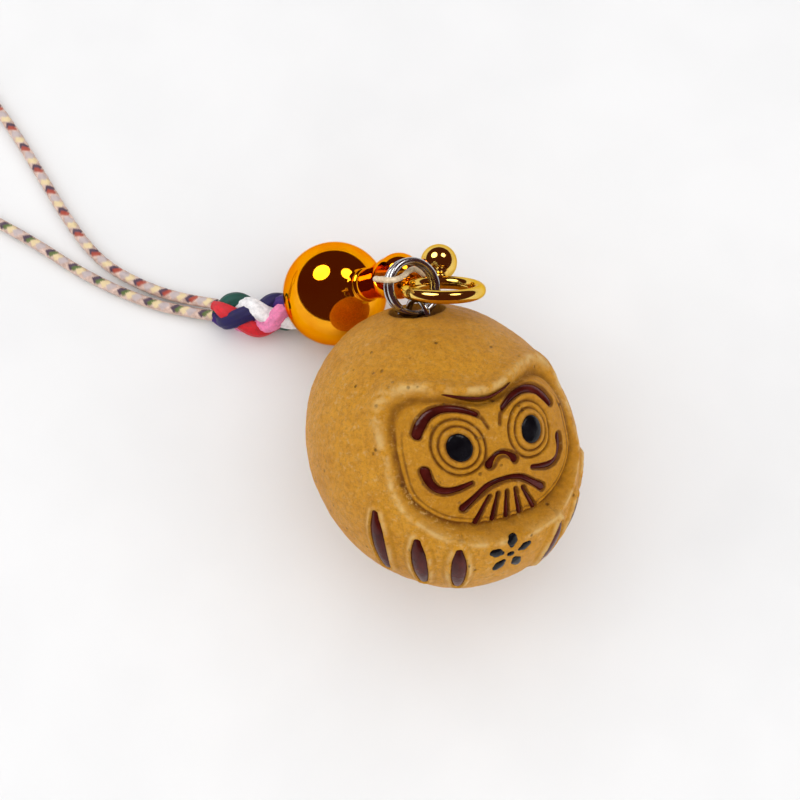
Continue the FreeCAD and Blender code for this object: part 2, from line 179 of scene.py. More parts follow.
def tube_mesh(centres, radius_at, sides, closed=False, caps=True):
    """Rings of points round a path. radius_at(i, angle) is each point's radius in metres."""
    path = [Vector(c) for c in centres]
    count = len(path)
    tangents = []
    for i in range(count):
        ahead = path[(i + 1) % count] if closed or i + 1 < count else path[i]
        behind = path[i - 1] if closed or i > 0 else path[i]
        tangents.append((ahead - behind).normalized())
    side = tangents[0].orthogonal().normalized()
    frames = []
    for tangent in tangents:
        side = (side - tangent * side.dot(tangent)).normalized()
        frames.append((side, tangent.cross(side)))
    twist = 0.0
    if closed:
        last = frames[-1][0]
        first = frames[0][0]
        flat = (last - tangents[0] * last.dot(tangents[0])).normalized()
        twist = math.atan2(flat.cross(first).dot(tangents[0]), flat.dot(first))
    verts = []
    for i, (centre, (u, v)) in enumerate(zip(path, frames)):
        for j in range(sides):
            angle = 2 * math.pi * j / sides
            turned = angle + twist * i / count
            r = radius_at(i, angle)
            verts.append(centre + (u * math.cos(turned) + v * math.sin(turned)) * r)
    faces = []
    for i in range(count if closed else count - 1):
        k = (i + 1) % count
        for j in range(sides):
            m = (j + 1) % sides
            faces.append((i * sides + j, i * sides + m, k * sides + m, k * sides + j))
    if caps and not closed:
        faces.append(tuple(range(sides))[::-1])
        faces.append(tuple(range((count - 1) * sides, count * sides)))
    return verts, faces


def nurbs_points(route, resolution, cyclic=False):
    """Points along the smooth line that has the route as its control points."""
    curve = bpy.data.curves.new("route", "CURVE")
    curve.dimensions = "3D"
    line = curve.splines.new("NURBS")
    line.points.add(len(route) - 1)
    for point, place in zip(line.points, route):
        point.co = (*place, 1.0)
    line.order_u = 3
    line.use_cyclic_u = cyclic
    line.use_endpoint_u = not cyclic
    line.resolution_u = resolution
    obj = bpy.data.objects.new("route", curve)
    mesh = bpy.data.meshes.new_from_object(obj)
    points = [v.co.copy() for v in mesh.vertices]
    bpy.data.objects.remove(obj)
    bpy.data.curves.remove(curve)
    bpy.data.meshes.remove(mesh)
    return points


def even(points, step, closed=False):
    """The same line with points an even step apart."""
    path = [Vector(p) for p in points]
    if closed:
        path.append(path[0])
    lengths = [0.0]
    for a, b in zip(path, path[1:]):
        lengths.append(lengths[-1] + (b - a).length)
    count = max(2, round(lengths[-1] / step))
    out = []
    k = 0
    for i in range(count if closed else count + 1):
        want = lengths[-1] * i / count
        while k < len(path) - 2 and lengths[k + 1] < want:
            k += 1
        span = lengths[k + 1] - lengths[k]
        out.append(path[k].lerp(path[k + 1], (want - lengths[k]) / span if span else 0))
    return out


# ---- materials -----------------------------------------------------------------------
class Nodes:
    """A short way to build one node material."""

    def __init__(self, name):
        self.material = bpy.data.materials.new(name)
        self.material.use_nodes = True
        self.tree = self.material.node_tree
        self.shader = self.tree.nodes["Principled BSDF"]
        self.coords = self.add("ShaderNodeTexCoord").outputs["Object"]

    def add(self, kind, inputs=None, **settings):
        node = self.tree.nodes.new(kind)
        for key, value in settings.items():
            setattr(node, key, value)
        for key, value in (inputs or {}).items():
            self.put(node.inputs[key], value)
        return node

    def put(self, socket, value):
        if isinstance(value, bpy.types.NodeSocket):
            self.tree.links.new(value, socket)
        else:
            socket.default_value = value

    def noise(self, scale, detail=4, roughness=0.6):
        inputs = {"Vector": self.coords, "Scale": scale, "Detail": detail, "Roughness": roughness}
        return self.add("ShaderNodeTexNoise", inputs).outputs["Fac"]

    def cells(self, scale, feature="F1"):
        node = self.add("ShaderNodeTexVoronoi", {"Vector": self.coords, "Scale": scale}, feature=feature)
        return node.outputs["Distance"]

    def attribute(self, name):
        return self.add("ShaderNodeAttribute", attribute_name=name).outputs["Fac"]

    def ramp(self, value, stops):
        node = self.add("ShaderNodeValToRGB", {"Fac": value})
        elements = node.color_ramp.elements
        while len(elements) < len(stops):
            elements.new(0.5)
        for element, (place, colour) in zip(elements, stops):
            element.position = place
            element.color = (*colour, 1)
        return node.outputs["Color"]

    def mix(self, factor, a, b, blend="MIX"):
        node = self.add("ShaderNodeMix", data_type="RGBA", blend_type=blend)
        self.put(node.inputs[0], factor)
        self.put(node.inputs[6], (*a, 1) if isinstance(a, tuple) else a)
        self.put(node.inputs[7], (*b, 1) if isinstance(b, tuple) else b)
        return node.outputs[2]

    def math(self, operation, a, b=0.5, clamp=False):
        node = self.add("ShaderNodeMath", operation=operation, use_clamp=clamp)
        self.put(node.inputs[0], a)
        self.put(node.inputs[1], b)
        return node.outputs[0]

    def range(self, value, low, high, to_low, to_high):
        inputs = {"Value": value, "From Min": low, "From Max": high, "To Min": to_low, "To Max": to_high}
        return self.add("ShaderNodeMapRange", inputs).outputs["Result"]

    def bump(self, height, strength, distance):
        inputs = {"Height": height, "Strength": strength, "Distance": distance}
        self.put(self.shader.inputs["Normal"], self.add("ShaderNodeBump", inputs).outputs["Normal"])

    def set(self, **values):
        for key, value in values.items():
            self.put(self.shader.inputs[key.replace("_", " ")], value)
        return self.material


def carved_body():
    """Ochre stain, pale scuffs and fine pits; painted highlight along the ridges, saturated amber tint and
    painted shade in the hollows.
    """
    n = Nodes("carved_body")
    broad = n.noise(90, 3)
    fine = n.noise(900, 5, 0.7)
    base = n.ramp(broad, [(0.3, (0.82, 0.36, 0.012)), (0.7, (0.97, 0.47, 0.028))])
    base = n.mix(n.range(fine, 0.35, 0.7, 0.0, 0.5), base, (0.7, 0.27, 0.01))
    grit = n.noise(2600, 5, 0.85)
    base = n.mix(n.range(grit, 0.46, 0.6, 0.0, 0.6), base, (0.55, 0.21, 0.008))
    # amber tint and painted shade: the face panel is tinted amber, and the hollows, eye rings, hanging recess
    # and the stripes' feet are darkened
    amber_and_shade = n.attribute("amber_and_shade")
    amber_and_shade_mix = n.math("ADD", amber_and_shade, n.range(fine, 0.3, 0.7, -0.15, 0.15), clamp=True)
    base = n.mix(amber_and_shade_mix, base, (0.6, 0.25, 0.003))
    # painted shade: the deepest hollows turn dark brown
    base = n.mix(n.range(amber_and_shade_mix, 0.52, 1.1, 0.0, 0.9), base, (0.15, 0.035, 0.002))
    # painted highlight: pale colour along the carved ridges and rims, broken up by noise
    ridge_highlight = n.math("MULTIPLY", n.attribute("ridge_highlight"), n.range(n.noise(700, 4), 0.4, 0.58, 0.0, 1.0))
    base = n.mix(ridge_highlight, base, (0.97, 0.66, 0.24))
    worn = n.range(broad, 0.4, 0.6, 0.1, 1.0)
    scuffs = n.math("MULTIPLY", n.range(n.noise(1700, 6, 0.8), 0.55, 0.63, 0.0, 0.75), worn)
    base = n.mix(scuffs, base, (0.9, 0.56, 0.18))
    dark = n.range(n.cells(1000), 0.0, 0.2, 0.9, 0.0)
    gate = n.range(n.noise(420, 2), 0.5, 0.58, 0.0, 1.0)
    base = n.mix(n.math("MULTIPLY", dark, gate, clamp=True), base, (0.14, 0.045, 0.008))
    height = n.math("ADD", n.math("MULTIPLY", fine, 0.5), n.math("MULTIPLY", grit, 0.5))
    pits = n.math("MULTIPLY", n.math("MULTIPLY", dark, gate), -0.9)
    n.bump(n.math("ADD", height, pits), 1.0, 0.0009)
    rough = n.range(fine, 0.3, 0.7, 0.36, 0.55)
    n.put(n.shader.inputs["Specular IOR Level"], 0.28)
    return n.set(Base_Color=base, Roughness=rough)


def enamel(name, dark, light):
    """Thick brushed enamel with a slightly uneven gloss."""
    n = Nodes(name)
    tone = n.noise(700, 3)
    n.bump(n.noise(1500, 3), 0.35, 0.00012)
    n.put(n.shader.inputs["IOR"], 1.3)
    return n.set(Base_Color=n.ramp(tone, [(0.35, dark), (0.7, light)]),
                 Roughness=n.range(tone, 0.3, 0.7, 0.1, 0.2))


def plated(name, low, high, rough, scratch, edge):
    """Bright plating with faint smudges and hairline wear."""
    n = Nodes(name)
    smudge = n.noise(350, 4)
    ripple = n.math("ADD", n.noise(2500, 4), n.math("MULTIPLY", n.noise(260, 2), 4.0))
    n.bump(ripple, scratch, 0.00003)
    n.put(n.shader.inputs["Specular Tint"], (*edge, 1))
    return n.set(Base_Color=n.ramp(smudge, [(0.35, low), (0.65, high)]), Metallic=1.0,
                 Roughness=n.range(smudge, 0.35, 0.7, rough, rough * 1.9))


def thread(name, stops, scale=1800):
    """Silky thread: fine fibres over its own colours."""
    n = Nodes(name)
    fibre = n.noise(scale, 4, 0.7)
    n.bump(fibre, 0.6, 0.00006)
    n.put(n.shader.inputs["Sheen Weight"], 0.12)
    n.put(n.shader.inputs["Sheen Roughness"], 0.4)
    return n.set(Base_Color=n.ramp(fibre, stops), Roughness=n.range(fibre, 0.3, 0.7, 0.6, 0.85))


def shades(colour, spread=0.35):
    """Dark-to-light stops round one colour."""
    low = tuple(c * (1 - spread) for c in colour)
    high = tuple(min(1.0, c * (1 + spread)) for c in colour)
    return [(0.35, low), (0.65, high)]


# Coloured threads of the strap, one after another along it.
FLECKS = [(0.03, 0.008, 0.05), (0.4, 0.05, 0.02), (0.1, 0.16, 0.03), (0.76, 0.62, 0.34), (0.5, 0.43, 0.43)]


FLECK_PITCH = 0.0029
# Where each colour comes in the pitch, radians, and how narrow it is.
FLECK_PLACES = [(0, 0.5), (-0.8, 0.72), (0.85, 0.72), (2.1, 0.5), (3.6, 0.5)]


def strap_thread():
    """Cream thread whose coloured flecks come round one after another."""
    n = Nodes("strap_thread")
    base = n.ramp(n.noise(1800, 4), [(0.35, (0.46, 0.31, 0.25)), (0.65, (0.75, 0.57, 0.48))])
    for i, colour in enumerate(FLECKS):
        weight = n.attribute("fleck_%d" % i)
        base = n.mix(n.math("MULTIPLY", weight, 0.92), base, colour)
    n.bump(n.noise(2600, 4), 0.6, 0.00005)
    n.put(n.shader.inputs["Sheen Weight"], 0.12)
    return n.set(Base_Color=base, Roughness=n.range(n.noise(900, 2), 0.3, 0.7, 0.6, 0.8))


BODY = carved_body()
RED = enamel("red_enamel", (0.035, 0.003, 0.002), (0.08, 0.008, 0.005))
BLACK = enamel("black_enamel", (0.002, 0.002, 0.003), (0.006, 0.006, 0.008))
STEEL = plated("bright_wire", (0.4, 0.4, 0.41), (0.6, 0.6, 0.61), 0.14, 0.12, (0.8, 0.8, 0.8))
GILT = plated("gilt", (0.8, 0.5, 0.09), (0.92, 0.62, 0.15), 0.06, 0.12, (0.8, 0.6, 0.25))
ORANGE = plated("orange_plating", (0.93, 0.3, 0.006), (0.99, 0.4, 0.015), 0.045, 0.05, (0.95, 0.55, 0.12))
CREAM = thread("cream_thread", [(0.35, (0.5, 0.36, 0.2)), (0.65, (0.85, 0.72, 0.5))])
STRAP = strap_thread()
BRAID_COLOURS = {
    "navy": (0.01, 0.006, 0.075), "teal": (0.002, 0.07, 0.05), "white": (0.85, 0.85, 0.86),
    "pink": (0.8, 0.22, 0.42), "red": (0.6, 0.01, 0.02), "purple": (0.04, 0.006, 0.15)}


# ---- the carved doll -----------------------------------------------------------------
def ellipsoid_reach(directions):
    """Distance from the doll's centre to its round body along unit directions."""
    across = directions[:, 0] / HALF_WIDTH
    along = directions @ LONG_AXIS / LONG_HALF
    short = directions @ SHORT_AXIS / SHORT_HALF
    return 1 / np.sqrt(across ** 2 + along ** 2 + short ** 2)


def face_reach(directions):
    """Distance to the near side of the face ball, from inside it."""
    b = directions @ FACE_BALL
    c = FACE_BALL @ FACE_BALL - FACE_RADIUS ** 2
    return b + np.sqrt(b ** 2 - c)


def outline_points():
    right = FACE_OUTLINE
    left = [(-x, z) for x, z in right[:0:-1]]
    return spline(right + [(0, -3.1)] + left, 220, closed=True)


def line_distance(x, z, line, widths=None):
    """Distance from each place to a polyline, and the line's own half width there."""
    best = np.full(x.shape, 1e9)
    half = np.zeros(x.shape)
    for i in range(len(line) - 1):
        (ax, az), (bx, bz) = line[i], line[i + 1]
        length = (bx - ax) ** 2 + (bz - az) ** 2 + 1e-12
        t = np.clip(((x - ax) * (bx - ax) + (z - az) * (bz - az)) / length, 0, 1)
        distance = np.hypot(x - ax - t * (bx - ax), z - az - t * (bz - az))
        near = distance < best
        best = np.where(near, distance, best)
        if widths is not None:
            half = np.where(near, (widths[i] * (1 - t) + widths[i + 1] * t) / 2, half)
    return best, half


def inside_outline(x, z, line):
    """Signed distance to the face panel's edge, positive inside."""
    closed = np.vstack([line, line[:1]])
    distance, _ = line_distance(x, z, closed)
    inside = np.zeros(x.shape, dtype=bool)
    for (ax, az), (bx, bz) in zip(closed[:-1], closed[1:]):
        if az != bz:
            crosses = ((az > z) != (bz > z)) & (x < (bx - ax) * (z - az) / (bz - az) + ax)
            inside ^= crosses
    return np.where(inside, distance, -distance)


def flipped(points):
    return [(-x, z) for x, z in points]


def face_strokes():
    """Every enamel stroke of the face: name, smooth line, widths."""
    strokes = []
    for side, turn in (("left", flipped), ("right", list)):
        strokes.append(("brow_" + side, turn(BROW), BROW_WIDTH))
        strokes.append(("moustache_" + side, turn(MOUSTACHE), MOUSTACHE_WIDTH))
    strokes.append(("nose_line", NOSE, NOSE_WIDTH))
    strokes.append(("mouth_line", MOUTH, MOUTH_WIDTH))
    for line in BEARD + [flipped(line) for line in BEARD[1:]]:
        strokes.append(("beard_lines", line, BEARD_WIDTH))
    return strokes


def fine_line(points, widths, count=24):
    rows = spline([(x, z, w) for (x, z), w in zip(points, widths)], count)
    return rows[:, :2], rows[:, 2]


def gauss(value, width):
    return np.exp(-(value / width) ** 2)


def face_relief(x, z):
    """Height over the smooth face, and how deep in a carved hollow each place is; the second sets the amber
    tint and painted shade there.
    """
    height = np.zeros(x.shape)
    amber_and_shade = np.zeros(x.shape)
    for side in (-1, 1):
        r = np.hypot(x - side * EYE[0], (z - EYE[1]) * 1.04)
        height += 0.28 * smooth_step(2.7, 0.6, r)
        for radius, width, depth in ((1.72, 0.11, 0.22), (2.3, 0.12, 0.26)):
            groove = gauss(r - radius, width)
            height -= depth * groove
            amber_and_shade += 0.7 * groove
        height -= 0.18 * smooth_step(PUPIL_RADIUS + 0.12, PUPIL_RADIUS - 0.1, r)
        amber_and_shade += 0.5 * gauss(r - PUPIL_RADIUS, 0.16)
        height += 0.22 * gauss(np.hypot(x - side * 5.2, (z - 1.9) * 1.3), 1.4)
        inner = line_distance(x, z, np.array([(side * 1.5, 6.6), (side * 0.9, 6.2), (side * 0.6, 5.5)]))[0]
        height -= 0.2 * gauss(inner, 0.16)
        amber_and_shade += 0.7 * gauss(inner, 0.2)
    height += 0.4 * gauss(np.hypot(x / 1.25, (z - 2.7) / 0.85), 1.0)
    height += 0.2 * gauss(np.hypot(x / 3.2, (z - 0.2) / 1.0), 1.0)
    for _, points, widths in face_strokes():
        line, wide = fine_line(points, widths)
        distance, half = line_distance(x, z, line, wide)
        height -= GROOVE_DEPTH * smooth_step(half + 0.07, half - 0.09, distance)
        height += 0.09 * gauss(distance - half - 0.2, 0.13)
        amber_and_shade += 0.85 * gauss(distance - half - 0.02, 0.11)
    return height, amber_and_shade


def robe_lines():
    """Each stripe: its azimuth, line and widths, and each petal of the belly's blossom."""
    strokes = []
    steps = len(STRIPE_WIDTH)
    for side in (-1, 1):
        for azimuth, top, bottom in ROBE_STRIPES:
            line = [(0.0, top + (bottom - top) * i / (steps - 1)) for i in range(steps)]
            name = "robe_stripes_left" if side < 0 else "robe_stripes_right"
            strokes.append((name, side * azimuth, line, STRIPE_WIDTH))
    x0, z0 = BELLY_MARK
    for i in range(PETALS):
        angle = math.radians(90 + 360 / PETALS * i)
        line = [(x0 + r * math.cos(angle), z0 + r * math.sin(angle)) for r in (0.95, 1.35, 1.75)]
        strokes.append(("belly_blossom", 0.0, line, [0.5, 1.0, 0.75]))
    strokes.append(("belly_blossom", 0.0, [(x0 - 0.1, z0), (x0, z0), (x0 + 0.1, z0)], [0.5, 0.62, 0.5]))
    return strokes


def about_z(points, azimuth):
    """Points turned so that an azimuth of the robe faces straight forward."""
    turn = math.radians(azimuth)
    x = points[:, 0] * math.cos(turn) + points[:, 1] * math.sin(turn)
    y = -points[:, 0] * math.sin(turn) + points[:, 1] * math.cos(turn)
    return x, y


def sculpt_body():
    """The carved body: a fine polar grid round the face's axis, pushed in and out."""
    forward = np.array([0.0, -0.97, 0.243])
    forward /= np.linalg.norm(forward)
    up = np.array([0.0, 0.243, 0.97])
    up /= np.linalg.norm(up)
    side = np.array([1.0, 0.0, 0.0])
    angles = np.concatenate([np.arange(0.25, 72, 0.5), np.arange(72, 122, 0.8), np.arange(122, 179.5, 2.5)])
    segments = 640
    turn = np.arange(segments) * 2 * math.pi / segments
    theta = np.radians(angles)[:, None]
    ring = np.cos(turn)[None, :, None] * side + np.sin(turn)[None, :, None] * up
    directions = (np.cos(theta)[..., None] * forward + np.sin(theta)[..., None] * ring).reshape(-1, 3)
    directions = np.vstack([directions, forward, -forward])

    outer = ellipsoid_reach(directions)
    face = np.minimum(face_reach(directions), outer)
    front = directions[:, 1] < -0.2
    spot = directions * face[:, None]
    signed = np.full(outer.shape, -9.0)
    signed[front] = inside_outline(spot[front, 0], spot[front, 2], outline_points())
    blend = smooth_step(-0.06, 0.26, signed)
    reach = outer + (face - outer) * blend

    x, z = spot[:, 0], spot[:, 2]
    # marks for the body's colour: amber tint and painted shade in the hollows, painted highlight on the
    # ridges
    amber_and_shade = np.zeros(outer.shape)
    ridge_highlight = np.zeros(outer.shape)
    near = signed > -3
    relief, hollow = face_relief(x[near], z[near])
    panel = smooth_step(0.05, 0.4, signed[near])
    reach[near] += relief * panel
    # painted shade in the face's carved grooves and eye rings
    amber_and_shade[near] += hollow * panel
    hood = smooth_step(4.5, 7.5, z)
    sides = smooth_step(-2.5, 1.0, z)
    reach += near * (0.42 * hood * gauss(signed + 0.4, 0.5) + 0.2 * sides * gauss(signed + 0.35, 0.4))
    reach -= near * (0.12 + 0.4 * hood) * gauss(signed - 0.35, 0.28)
    low = smooth_step(6.5, 4.5, z)
    # grooves along the panel's lower sides, with painted shade in them
    for place, width, depth in ((0.55, 0.12, 0.1), (1.0, 0.1, 0.07)):
        line = near * low * gauss(signed - place, width)
        reach -= depth * line
        amber_and_shade += 0.5 * line
    # painted shade inside the panel's edge, and amber tint across the panel
    amber_and_shade += near * (0.7 * gauss(signed - 0.3, 0.3) + 0.4 * smooth_step(0, 1.0, signed))
    # painted highlight along the hood's lip
    ridge_highlight += near * (0.8 * gauss(signed + 0.25, 0.22))

    points = directions * outer[:, None]
    for name, azimuth, line, widths in robe_lines():
        px, py = about_z(points, azimuth)
        pick = (py < 0) & (points[:, 2] < 1) & (signed < 0.3)
        smooth, wide = fine_line(line, widths)
        distance, half = line_distance(px[pick], points[pick, 2], smooth, wide)
        if name == "belly_blossom":
            mound = np.zeros(distance.shape)
        else:
            mound = 0.42 * smooth_step(half + 0.75, half - 0.1, distance)
        groove = smooth_step(half + 0.06, half - 0.1, distance)
        depth = 0.12 if name == "belly_blossom" else GROOVE_DEPTH
        reach[pick] += mound - depth * groove
        # painted shade round the foot of each raised stripe
        amber_and_shade[pick] += 0.5 * gauss(distance - half - 0.6, 0.2) * (mound > 0)
        # painted highlight along each stripe's rim
        ridge_highlight[pick] += (0.8 * gauss(distance - half - 0.22, 0.16)) * (mound > 0)

    off_axis = np.linalg.norm(points - (points @ HANG_AXIS)[:, None] * HANG_AXIS, axis=1)
    above = directions @ HANG_AXIS > 0
    well = above * smooth_step(RECESS_RADIUS + 0.12, RECESS_RADIUS - 0.12, off_axis)
    reach -= RECESS_DEPTH * well
    # painted shade round and inside the hanging recess
    amber_and_shade += 0.8 * above * gauss(off_axis - RECESS_RADIUS, 0.35) + 0.5 * well
    down = np.where(directions[:, 2] < -0.1, -FOOT_DROP / np.minimum(directions[:, 2], -0.1), 99)
    reach = np.minimum(reach, down)

    for i, direction in enumerate(directions):
        spot_mm = Vector(direction * reach[i])
        rough = noise.noise(spot_mm * 0.35) * 0.1 + noise.noise(spot_mm * 1.6) * 0.035
        rough += noise.noise(spot_mm * 5.5) * 0.014
        reach[i] += min(rough, 0.06) - 0.05

    rows = doll_to_row(directions * reach[:, None])
    count = len(angles)
    faces = []
    for i in range(count - 1):
        for j in range(segments):
            k = (j + 1) % segments
            faces.append((i * segments + j, i * segments + k, (i + 1) * segments + k, (i + 1) * segments + j))
    tip, tail = count * segments, count * segments + 1
    last = (count - 1) * segments
    for j in range(segments):
        k = (j + 1) % segments
        faces.append((tip, k, j))
        faces.append((tail, last + j, last + k))
    body = make_object("carved_doll", rows, faces, "doll", BODY)
    # amber tint and painted shade, then painted highlight, kept on the points for the material
    set_attribute(body, "amber_and_shade", np.clip(amber_and_shade, 0, 1))
    set_attribute(body, "ridge_highlight", np.clip(ridge_highlight, 0, 1))
    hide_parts("doll_body")
    return body


def slab(top, bottom):
    """A closed solid between two grids of row-frame points."""
    rows, columns = top.shape[:2]
    size = rows * columns
    verts = np.vstack([top.reshape(-1, 3), bottom.reshape(-1, 3)])
    faces = []
    for i in range(rows - 1):
        for j in range(columns - 1):
            a = i * columns + j
            quad = (a, a + 1, a + columns + 1, a + columns)
            faces.append(quad)
            faces.append(tuple(size + v for v in quad[::-1]))
    rim = list(range(columns))
    rim += [i * columns + columns - 1 for i in range(1, rows)]
    rim += [(rows - 1) * columns + j for j in range(columns - 2, -1, -1)]
    rim += [i * columns for i in range(rows - 2, 0, -1)]
    for a, b in zip(rim, rim[1:] + rim[:1]):
        faces.append((b, a, size + a, size + b))
    return verts, faces


def face_point(x, z, height):
    """Places on the face ball, raised along its normal."""
    dx = x - FACE_BALL[0]
    dz = z - FACE_BALL[2]
    dy = -np.sqrt(FACE_RADIUS ** 2 - dx ** 2 - dz ** 2)
    normal = np.stack([dx, dy, dz], axis=-1) / FACE_RADIUS
    return FACE_BALL + normal * (FACE_RADIUS + height)[..., None]


def robe_point(x, z, height, azimuth=0.0):
    """Places on the round body, seen square on from an azimuth, raised outward."""
    turn = math.radians(azimuth)
    cos, sin = math.cos(turn), math.sin(turn)
    metric = (np.diag([1 / HALF_WIDTH ** 2, 0, 0]) + np.outer(LONG_AXIS, LONG_AXIS) / LONG_HALF ** 2
              + np.outer(SHORT_AXIS, SHORT_AXIS) / SHORT_HALF ** 2)
    back = np.array([-sin, cos, 0.0])
    start = np.stack([x * cos, x * sin, z], axis=-1)
    a = back @ metric @ back
    b = start @ metric @ back
    c = np.einsum("...i,ij,...j", start, metric, start) - 1
    y = (-b - np.sqrt(np.maximum(b ** 2 - a * c, 0))) / a
    point = start + y[..., None] * back
    outward = point / np.linalg.norm(point, axis=-1, keepdims=True)
    return point + outward * height[..., None]


def stroke_grid(points, widths, place, top_height, base_height, edge_height):
    """Top and bottom grids of one domed brush stroke with round ends."""
    line, wide = fine_line(points, widths, 36)
    steps = np.diff(line, axis=0)
    tangents = np.vstack([steps, steps[-1:]])
    tangents /= np.linalg.norm(tangents, axis=1, keepdims=True)
    ends = np.linspace(math.pi / 2, 0, 8)[:-1]
    stations = []
    for angle in ends:
        stations.append((line[0] - tangents[0] * math.sin(angle) * wide[0] / 2, tangents[0],
                         wide[0] * max(math.cos(angle), 0.02)))
    for spot, tangent, width in zip(line, tangents, wide):
        stations.append((spot, tangent, width))
    for angle in ends[::-1]:
        stations.append((line[-1] + tangents[-1] * math.sin(angle) * wide[-1] / 2, tangents[-1],
                         wide[-1] * max(math.cos(angle), 0.02)))
    across = np.linspace(-1, 1, 13)
    spots = np.array([s[0] for s in stations])[:, None, :]
    tang = np.array([s[1] for s in stations])[:, None, :]
    width = np.array([s[2] for s in stations])[:, None]
    x = spots[..., 0] - tang[..., 1] * width * across / 2
    z = spots[..., 1] + tang[..., 0] * width * across / 2
    fill = np.minimum(1, width / wide.mean())
    dome = edge_height + (top_height - edge_height) * (1 - across ** 2) * fill
    top = doll_to_row(place(x, z, dome + x * 0).reshape(-1, 3)).reshape(*x.shape, 3)
    bottom = doll_to_row(place(x, z, base_height + x * 0).reshape(-1, 3)).reshape(*x.shape, 3)
    return top, bottom


def join_slabs(name, grids, material, node):
    verts, faces = [], []
    for top, bottom in grids:
        more, quads = slab(top, bottom)
        offset = len(verts)
        verts.extend(more)
        faces.extend(tuple(offset + v for v in quad) for quad in quads)
    obj = make_object(name, verts, faces, "doll", material)
    turn_faces_out(obj)
    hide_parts(node)


def enamel_strokes():
    """Glossy enamel in every carved stroke."""
    groups = {}
    for name, points, widths in face_strokes():
        grid = stroke_grid(points, widths, face_point, -0.04, -0.42, -0.2)
        groups.setdefault(name, []).append(grid)
    for name, azimuth, points, widths in robe_lines():
        place = partial(robe_point, azimuth=azimuth)
        raised = (0.02, -0.3, -0.1) if name == "belly_blossom" else (0.34, -0.2, 0.1)
        groups.setdefault(name, []).append(stroke_grid(points, widths, place, *raised))
    lip = [(x, z) for x, z in outline_points() if z > 7 and -4.2 < x < 3.0]
    lip = sorted(lip)[::3]
    widths = [0.05] + [0.13] * (len(lip) - 2) + [0.05]
    verts, faces = slab(*stroke_grid(lip, widths, robe_point, 0.14, -0.7, 0.04))
    make_object("enamel_hood_line", verts, faces, "doll", RED)
    for name, grids in groups.items():
        black = name == "belly_blossom"
        material, slot = (BLACK, "black enamel") if black else (RED, "red enamel")
        join_slabs("enamel_" + name, grids, material, name)


def pupils():
    """Glossy black domes in the middle of each eye."""
    for name, side in (("pupil_left", -1), ("pupil_right", 1)):
        radii = np.linspace(0, 1, 12)
        turns = np.linspace(0, 2 * math.pi, 48, endpoint=False)
        r, a = np.meshgrid(radii[1:], turns, indexing="ij")
        x = side * EYE[0] + PUPIL_RADIUS * r * np.cos(a)
        z = EYE[1] + PUPIL_RADIUS * r * np.sin(a)
        dome = 0.1 + 0.22 * np.sqrt(np.maximum(1 - r ** 2.6, 0))
        top = face_point(x, z, dome).reshape(-1, 3)
        low = face_point(x[-1], z[-1], np.full(x[-1].shape, -0.3))
        centre = face_point(np.array([side * EYE[0]]), np.array([EYE[1]]), np.array([0.32]))
        verts = doll_to_row(np.vstack([top, low, centre]))
        count = len(turns)
        rings = len(radii) - 1
        faces = []
        for i in range(rings):
            for j in range(count):
                k = (j + 1) % count
                faces.append((i * count + j, i * count + k, (i + 1) * count + k, (i + 1) * count + j))
        last = len(verts) - 1
        faces.extend((last, (j + 1) % count, j) for j in range(count))
        faces.append(tuple(rings * count + j for j in range(count)))
        dome_piece = make_object("glossy_" + name, verts, faces, "doll", BLACK)
        turn_faces_out(dome_piece)
        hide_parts(name)


# ---- rings ---------------------------------------------------------------------------
def circle_path(centre, axis, radius, count):
    axis = axis.normalized()
    u = axis.orthogonal().normalized()
    v = axis.cross(u)
    turns = [2 * math.pi * i / count for i in range(count)]
    return [(centre + (u * math.cos(t) + v * math.sin(t)) * radius) * MM for t in turns]


def split_ring():
    """Two turns of wire that step across from one to the other, with cut ends."""
    axis = SPLIT_AXIS
    u = axis.orthogonal().normalized()
    v = axis.cross(u)
    start = math.radians(205)
    path = []
    for i in range(321):
        t = i / 320
        turn = start + t * (4 * math.pi - 0.12)
        step = 0.31 * (2 * smooth_step(0.44, 0.56, t) - 1)
        place = SPLIT_CENTRE + (u * math.cos(turn) + v * math.sin(turn)) * SPLIT_RADIUS + axis * float(step)
        path.append(place * MM)
    verts, faces = tube_mesh(path, lambda i, a: SPLIT_WIRE * MM * (0.86 if i in (0, 320) else 1), 32)
    ring = make_object("split_ring_wire", verts, faces, "ring", STEEL)
    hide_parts("split_ring")


def screw_eye():
    """Wire loop standing in the hanging recess, and its shank."""
    hang = Vector(HANG_AXIS)
    out = (DOLL_TURN @ hang).normalized()
    surface = float(ellipsoid_reach(HANG_AXIS[None, :])[0])
    centre = DOLL_CENTRE + out * (surface - 0.8)
    axis = out.cross(SCREW_FACING)
    path = circle_path(centre, axis, SCREW_LOOP, 120)
    verts, faces = tube_mesh(path, lambda i, a: SCREW_WIRE * MM, 28, closed=True)
    top = centre - out * (SCREW_LOOP + SCREW_WIRE / 2)
    shank = [(top - out * (SCREW_LENGTH * i / 60)) * MM for i in range(61)]
    more, rest = tube_mesh(shank, lambda i, a: (SCREW_SHANK + 0.04 * math.cos(a + i * 0.8)) * MM, 28)
    offset = len(verts)
    verts = verts + more
    faces = faces + [tuple(offset + k for k in face) for face in rest]
    eye = make_object("screw_eye_wire", verts, faces, "doll", STEEL)
    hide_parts("screw_eye")


